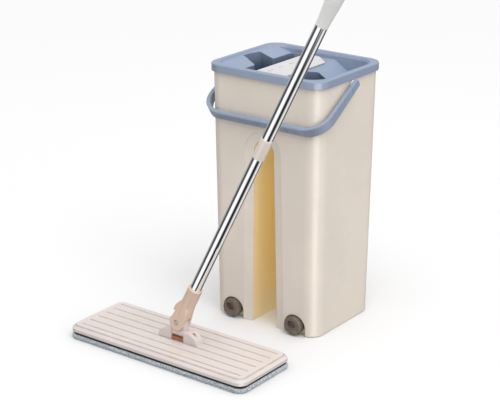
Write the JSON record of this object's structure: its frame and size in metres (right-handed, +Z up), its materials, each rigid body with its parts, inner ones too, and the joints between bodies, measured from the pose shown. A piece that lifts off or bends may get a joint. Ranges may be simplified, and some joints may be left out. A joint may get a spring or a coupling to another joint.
{
  "type": "mop and bucket with wringer",
  "caption": "Flat mop with a swivelling head and chrome pole beside a tall two-legged bucket with a slotted scraper-wringer lid, a bail handle and drain plugs.",
  "frame": {"origin": "bottom centre of the whole assembly's box, on the floor the bucket and the mop stand on", "axes": "+Z up; the bucket's front and the mop face -Y; the pole leans towards +X"},
  "size_m": [0.4782, 0.379, 0.6386],
  "materials": {
    "body_cream": "moulded polypropylene, satin",
    "lid_blue": "moulded polypropylene, satin",
    "plate_white": "moulded plastic, satin",
    "scraper_grey": "matte",
    "plug_grey": "matte",
    "seal_black": "matte",
    "board_cream": "moulded plastic, satin",
    "pad_fabric": "microfibre pile",
    "hook_black": "hook-and-loop layer, matte",
    "knuckle_beige": "moulded plastic, satin",
    "cushion_orange": "matte",
    "coupling_cream": "moulded plastic, satin",
    "tube_chrome": "polished",
    "pin_steel": "satin",
    "grip_grey": "soft matte"
  },
  "bodies": {
    "bucket": {"bucket_body": "body_cream", "handle_pin_left": "lid_blue", "handle_pin_right": "lid_blue"},
    "carry_handle": {"handle": "lid_blue"},
    "lid_assembly": {"lid": "lid_blue", "squeeze_plate": "plate_white", "scraper_holder": "plate_white", "scraper_blade": "scraper_grey"},
    "plug_left": {"drain_plug_left": "plug_grey", "drain_seal_left": "seal_black"},
    "plug_right": {"drain_plug_right": "plug_grey", "drain_seal_right": "seal_black"},
    "mop_head": {"mop_board": "board_cream", "hook_layer": "hook_black", "mop_pad": "pad_fabric", "roll_pin": "pin_steel", "saddle_cushion": "cushion_orange"},
    "swivel": {"swivel_block": "board_cream"},
    "pole": {"knuckle": "knuckle_beige", "tilt_pin": "pin_steel", "tube_lower": "tube_chrome", "coupling": "coupling_cream", "tube_upper": "tube_chrome", "grip": "grip_grey", "grip_cap": "grip_grey"}
  },
  "joints": [
    {"name": "handle_swing", "type": "hinge", "parent": "bucket", "child": "carry_handle", "pos_m": [-0.02908, 0.1025, 0.386], "axis": [-1, 0, 0], "range_deg": [0, 245]},
    {"name": "lid_lift", "type": "slide", "parent": "bucket", "child": "lid_assembly", "axis": [0, 0, 1], "range_m": [0, 0.09]},
    {"name": "drain_plug_left_pull", "type": "slide", "parent": "bucket", "child": "plug_left", "axis": [0, -1, 0], "range_m": [0, 0.03]},
    {"name": "drain_plug_right_pull", "type": "slide", "parent": "bucket", "child": "plug_right", "axis": [0, -1, 0], "range_m": [0, 0.03]},
    {"name": "mop_lift", "type": "slide", "parent": "bucket", "child": "mop_head", "axis": [0, 0, 1], "range_m": [0, 0.15]},
    {"name": "head_roll", "type": "hinge", "parent": "mop_head", "child": "swivel", "pos_m": [-0.06808, -0.1295, 0.035], "axis": [1, 0, 0], "range_deg": [-15, 35]},
    {"name": "pole_tilt", "type": "hinge", "parent": "swivel", "child": "pole", "pos_m": [-0.06808, -0.1295, 0.052], "axis": [0, 1, 0], "range_deg": [-78, 54]}
  ]
}
